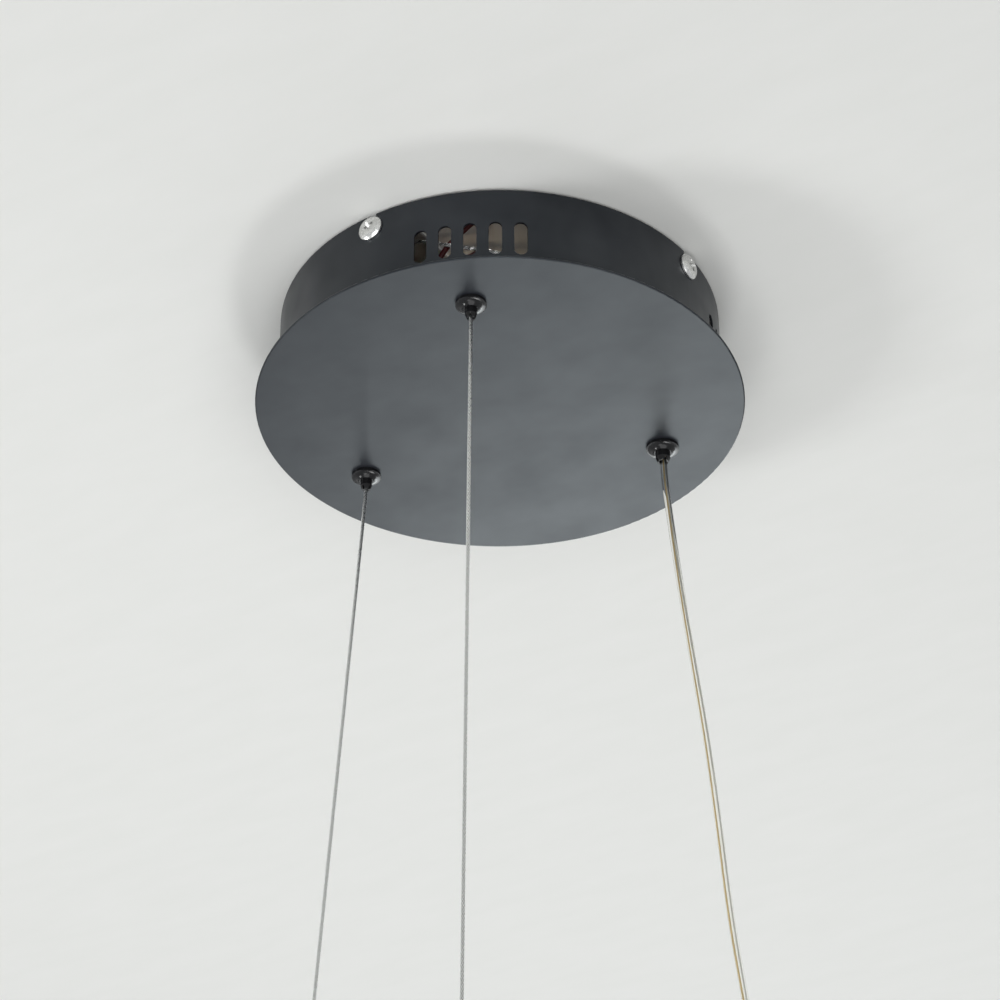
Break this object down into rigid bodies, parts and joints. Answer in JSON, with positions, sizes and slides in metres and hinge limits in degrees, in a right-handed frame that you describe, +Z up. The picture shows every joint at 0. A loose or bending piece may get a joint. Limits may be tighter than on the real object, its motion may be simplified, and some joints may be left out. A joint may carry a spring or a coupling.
{
  "type": "pendant light ceiling canopy",
  "caption": "Round satin black ceiling canopy of a pendant light with twisted steel suspension ropes, a clear power cord, side vents and a hidden bracket with its driver.",
  "frame": {"origin": "centre of the ceiling bracket's upper face, between its two ceiling slots", "axes": "+Z up into the ceiling, +X along the ceiling slots, arms of the bracket along X and Y"},
  "size_m": [0.2, 0.2, 0.3736],
  "materials": {
    "satin_black": "satin black powder coat, faintly mottled",
    "gloss_black": "gloss black plated metal",
    "zinc_steel": "zinc-plated sheet steel and fasteners",
    "screw_steel": "bright nickel-plated cross-recess screws",
    "rope_steel": "twisted stainless wire rope",
    "spring_steel": "polished hardened steel",
    "nickel": "nickel-plated turned metal",
    "brass": "plain turned brass",
    "soft_aluminium": "crimped aluminium sleeve",
    "clear_pvc": "clear flexible sheath over two conductors",
    "black_plastic": "moulded black plastic",
    "tip_plastic": "moulded yellow insulating ring",
    "nylon": "natural moulded nylon",
    "white_plastic": "moulded white plastic",
    "board_green": "lacquered circuit board",
    "winding_tape": "taped winding on a dark core",
    "red_pvc": "dark red flexible insulation",
    "black_pvc": "black flexible insulation",
    "earth_pvc": "green and yellow flexible insulation"
  },
  "bodies": {
    "bracket": {"ceiling_bracket": "zinc_steel", "canopy_screws": "screw_steel", "terminal_block": "nylon", "terminal_clamps": "brass", "terminal_clamp_screws": "zinc_steel", "terminal_fixing_screw": "zinc_steel", "earth_screw": "zinc_steel", "earth_lug": "nickel", "earth_wire": "earth_pvc"},
    "canopy": {"canopy_plate": "satin_black", "canopy_shell": "satin_black", "cord_gripper_body": "gloss_black", "cord_gripper_cap": "brass", "cord_plug_barrel": "nickel", "cord_plug_body": "black_plastic", "cord_plug_tip": "tip_plastic", "cord_spring": "spring_steel", "driver_base": "white_plastic", "driver_board": "board_green", "driver_capacitors": "soft_aluminium", "driver_cover": "white_plastic", "driver_transformer": "winding_tape", "front_gripper_body": "gloss_black", "front_gripper_cap": "brass", "front_rope": "rope_steel", "front_rope_ferrule": "soft_aluminium", "front_rope_tail": "rope_steel", "front_spring": "spring_steel", "gland_nuts": "zinc_steel", "gland_washers": "zinc_steel", "joint_block": "black_plastic", "left_gripper_body": "gloss_black", "left_gripper_cap": "brass", "left_rope": "rope_steel", "left_rope_ferrule": "soft_aluminium", "left_rope_tail": "rope_steel", "left_spring": "spring_steel", "live_wire": "red_pvc", "negative_lead": "black_pvc", "neutral_wire": "black_pvc", "plate_nuts": "zinc_steel", "plate_studs": "zinc_steel", "positive_lead": "red_pvc", "power_cord": "clear_pvc", "power_cord_tail": "clear_pvc", "tail_sleeves": "soft_aluminium"},
    "front_release": {"front_plunger": "gloss_black", "front_balls": "spring_steel"},
    "left_release": {"left_plunger": "gloss_black", "left_balls": "spring_steel"},
    "cord_release": {"cord_plunger": "gloss_black", "cord_balls": "spring_steel"},
    "front_socket": {"front_rope_socket": "nickel"},
    "left_socket": {"left_rope_socket": "nickel"}
  },
  "joints": [
    {"name": "canopy_drop", "type": "slide", "parent": "bracket", "child": "canopy", "axis": [0, 0, -1], "range_m": [0, 0.06], "deforming": ["live_wire", "neutral_wire"]},
    {"name": "front_release_push", "type": "slide", "parent": "canopy", "child": "front_release", "axis": [0, 0, 1], "range_m": [0, 0.0015], "stiffness_N_per_m": 300, "springref_m": -0.003, "deforming": ["front_spring"]},
    {"name": "left_release_push", "type": "slide", "parent": "canopy", "child": "left_release", "axis": [0, 0, 1], "range_m": [0, 0.0015], "stiffness_N_per_m": 300, "springref_m": -0.003, "deforming": ["left_spring"]},
    {"name": "cord_release_push", "type": "slide", "parent": "canopy", "child": "cord_release", "axis": [0, 0, 1], "range_m": [0, 0.0015], "stiffness_N_per_m": 300, "springref_m": -0.003, "deforming": ["cord_spring"]},
    {"name": "front_socket_turn", "type": "hinge", "parent": "canopy", "child": "front_socket", "pos_m": [0.02802, -0.06671, -0.348], "axis": [-0.0085, -0.004, -1], "continuous": true},
    {"name": "left_socket_turn", "type": "hinge", "parent": "canopy", "child": "left_socket", "pos_m": [-0.08984, -0.002, -0.348], "axis": [-0.0597, -0.0278, -0.9978], "continuous": true}
  ]
}
